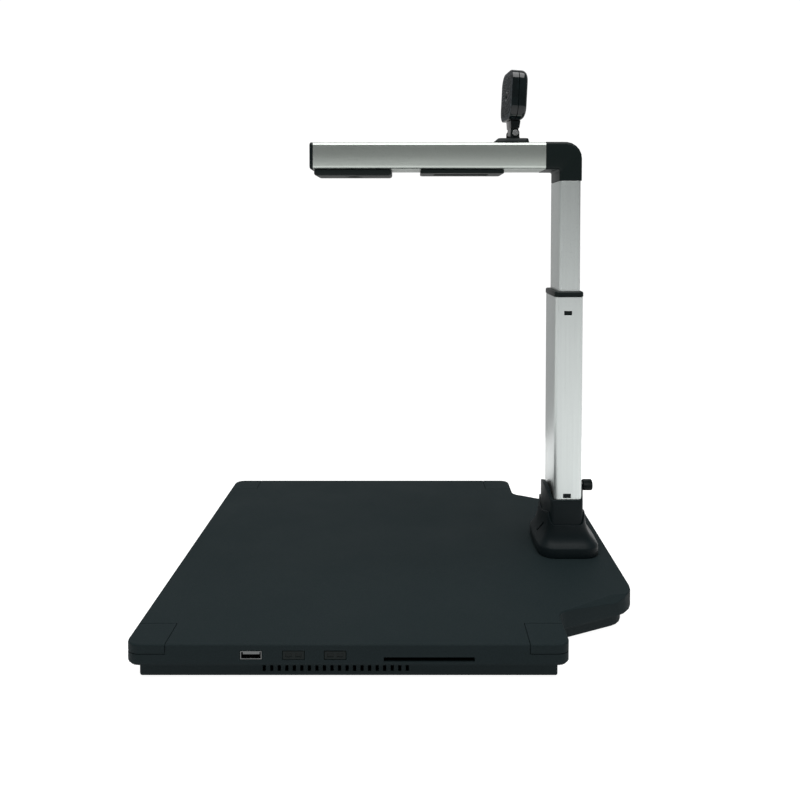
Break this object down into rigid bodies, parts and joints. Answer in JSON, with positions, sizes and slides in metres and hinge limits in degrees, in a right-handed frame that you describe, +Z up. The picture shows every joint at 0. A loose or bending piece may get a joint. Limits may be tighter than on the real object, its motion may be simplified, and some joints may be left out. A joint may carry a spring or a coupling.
{
  "type": "book scanner",
  "caption": "Overhead document scanner: flat base plate with side ports, telescopic aluminium column, horizontal camera arm with lamp, and a tilting webcam on top.",
  "frame": {"origin": "centre of the object's footprint, on the surface it stands on", "axes": "+Z up; +X from the reader's edge of the base plate to the column at the rear; -Y is the side with the ports"},
  "size_m": [0.3616, 0.34, 0.4395],
  "materials": {
    "textured_abs": "fine-textured black ABS",
    "boot_plastic": "satin black ABS",
    "satin_black": "satin black moulding",
    "webcam_gloss": "gloss black",
    "webcam_face": "pebbled dark grey",
    "satin_aluminium": "sand-blasted and anodised, satin",
    "steel": "nickel-plated steel",
    "rubber": "matt",
    "circuit_board": "green solder mask",
    "cable_jacket": "satin jacket",
    "lens_glass": "coated glass",
    "diffuser": "frosted acrylic"
  },
  "bodies": {
    "base": {"anchor_plate": "steel", "antenna_board": "circuit_board", "boot_collar": "boot_plastic", "boot_foot": "boot_plastic", "bottom_cover": "textured_abs", "card_reader": "satin_black", "case_screw_1": "steel", "case_screw_2": "steel", "case_screw_3": "steel", "case_screw_4": "steel", "column_cable": "cable_jacket", "column_screw_1": "steel", "column_screw_2": "steel", "column_screw_3": "steel", "column_screw_4": "steel", "column_spigot": "boot_plastic", "corner_cap_front_left": "textured_abs", "corner_cap_front_right": "textured_abs", "corner_cap_rear_left": "textured_abs", "corner_cap_rear_right": "textured_abs", "ferrule": "satin_black", "foot_1": "rubber", "foot_2": "rubber", "foot_3": "rubber", "foot_4": "rubber", "foot_5": "rubber", "foot_6": "rubber", "main_board": "circuit_board", "outer_tube": "satin_aluminium", "port_blank_1": "satin_black", "port_blank_2": "satin_black", "top_cover": "textured_abs", "uplink_socket": "steel", "usb_port": "steel"},
    "mast": {"inner_tube": "satin_aluminium", "slide_shoe": "satin_black", "elbow": "satin_black", "arm_tube": "satin_aluminium", "arm_end_cap": "satin_black", "camera_housing": "satin_black", "arm_cable": "cable_jacket", "webcam_foot": "satin_black", "camera_board": "circuit_board", "lens_barrel": "satin_black", "lens_glass": "lens_glass", "light_housing": "satin_black", "light_board": "circuit_board", "light_diffuser": "diffuser"},
    "webcam_yoke": {"webcam_bracket": "satin_black", "hinge_screw": "steel", "hinge_nut": "steel"},
    "webcam_head": {"webcam_front_shell": "webcam_face", "webcam_rear_shell": "satin_black", "webcam_lens": "webcam_gloss", "webcam_board": "circuit_board"},
    "clamp_shank": {"thumbscrew_shank": "steel"},
    "clamp_knob": {"thumbscrew_knob": "satin_black"}
  },
  "joints": [
    {"name": "mast_slide", "type": "slide", "parent": "base", "child": "mast", "axis": [0, 0, 1], "range_m": [-0.088, 0], "deforming": ["column_cable"]},
    {"name": "webcam_swivel", "type": "hinge", "parent": "mast", "child": "webcam_yoke", "pos_m": [0.0991, 0, 0.3862], "axis": [0, 0, 1], "range_deg": [-90, 90]},
    {"name": "webcam_tilt", "type": "hinge", "parent": "webcam_yoke", "child": "webcam_head", "pos_m": [0.0991, 0, 0.3862], "axis": [-0.1045, 0.9945, 0], "range_deg": [-60, 60]},
    {"name": "thumbscrew_travel", "type": "slide", "parent": "base", "child": "clamp_shank", "axis": [1, 0, 0], "range_m": [0, 0.004]},
    {"name": "thumbscrew_turn", "type": "hinge", "parent": "clamp_shank", "child": "clamp_knob", "pos_m": [0.1615, 0, 0.0785], "axis": [1, 0, 0], "range_deg": [0, 1800]}
  ],
  "couplings": [
    {"joint": "thumbscrew_turn", "follows": "thumbscrew_travel", "rad_per_m": 7854}
  ]
}
